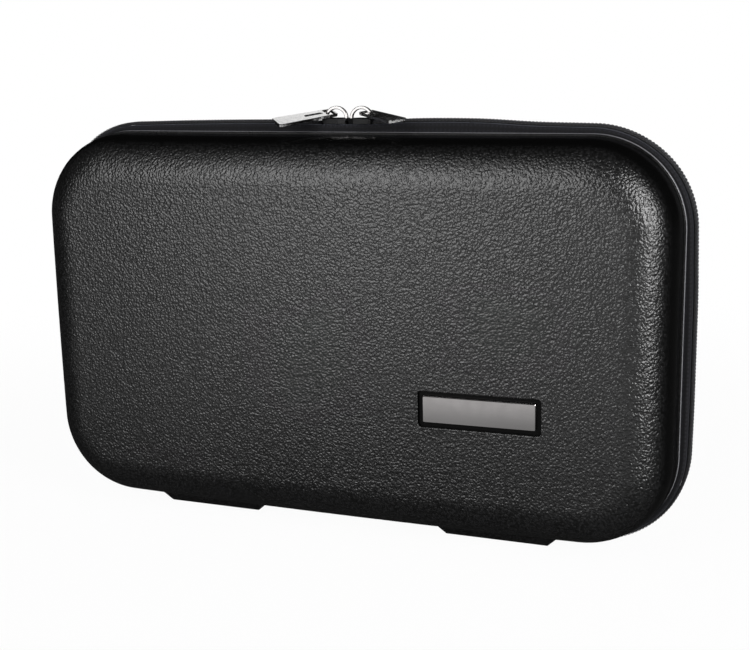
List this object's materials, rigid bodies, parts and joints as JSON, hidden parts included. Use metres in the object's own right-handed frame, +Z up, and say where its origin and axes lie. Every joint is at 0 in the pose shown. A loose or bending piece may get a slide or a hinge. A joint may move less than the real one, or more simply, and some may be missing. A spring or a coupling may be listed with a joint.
{
  "type": "oboe case",
  "caption": "Hard-shell zipped case for an oboe, standing on moulded feet, with a hinged lid, a two-way zip with pull tabs, and a fitted plush insert.",
  "frame": {"origin": "centre of the case on the surface under its moulded feet", "axes": "+X along the case to the end with the name plate, -Y out of the lid face that carries the plate, +Z up from the spine to the zip sliders"},
  "size_m": [0.3032, 0.0776, 0.1892],
  "materials": {
    "shell": "moulded leather-grain black plastic, satin",
    "piping": "smooth black piping",
    "zip_tape": "woven blue-black zip tape",
    "zip_coil": "black nylon coil with stitching",
    "zip_stop": "moulded black stop",
    "slider": "bright plated slider body",
    "bright_metal": "polished plated metal",
    "plate": "polished bare plate",
    "adhesive": "foam adhesive tape",
    "plush": "black plush over foam",
    "binding": "black woven binding"
  },
  "bodies": {
    "base": {"rear_shell": "shell", "rear_piping": "piping", "rear_zip_tape": "zip_tape", "rear_zip_coil": "zip_coil", "rear_zip_stops": "zip_stop", "rear_hinge_web": "zip_tape", "rear_lining": "plush", "rear_edge_binding": "binding", "fitted_insert": "plush"},
    "lid": {"front_shell": "shell", "name_plate": "plate", "plate_adhesive": "adhesive", "front_piping": "piping", "front_zip_tape": "zip_tape", "front_zip_coil": "zip_coil", "front_zip_stops": "zip_stop", "front_hinge_web": "zip_tape", "front_lining": "plush", "front_edge_binding": "binding", "lid_pad": "plush"},
    "slider_left": {"slider_left": "slider", "bail_left": "bright_metal"},
    "slider_right": {"slider_right": "slider", "bail_right": "bright_metal"},
    "pull_left": {"pull_left": "bright_metal"},
    "pull_right": {"pull_right": "bright_metal"}
  },
  "joints": [
    {"name": "lid_hinge", "type": "hinge", "parent": "base", "child": "lid", "pos_m": [0, 0, 0.0006], "axis": [1, 0, 0], "range_deg": [0, 150]},
    {"name": "slider_left_slide", "type": "slide", "parent": "base", "child": "slider_left", "axis": [-1, 0, 0], "range_m": [0, 0.085]},
    {"name": "slider_right_slide", "type": "slide", "parent": "base", "child": "slider_right", "axis": [1, 0, 0], "range_m": [0, 0.085]},
    {"name": "pull_left_hinge", "type": "hinge", "parent": "slider_left", "child": "pull_left", "pos_m": [-0.0093, 0.00075, 0.1863], "axis": [-0.7514, 0.5841, 0.307], "range_deg": [0, 90]},
    {"name": "pull_right_hinge", "type": "hinge", "parent": "slider_right", "child": "pull_right", "pos_m": [0.0061, 0.00075, 0.1863], "axis": [-0.6462, -0.756, -0.1041], "range_deg": [0, 90]}
  ]
}
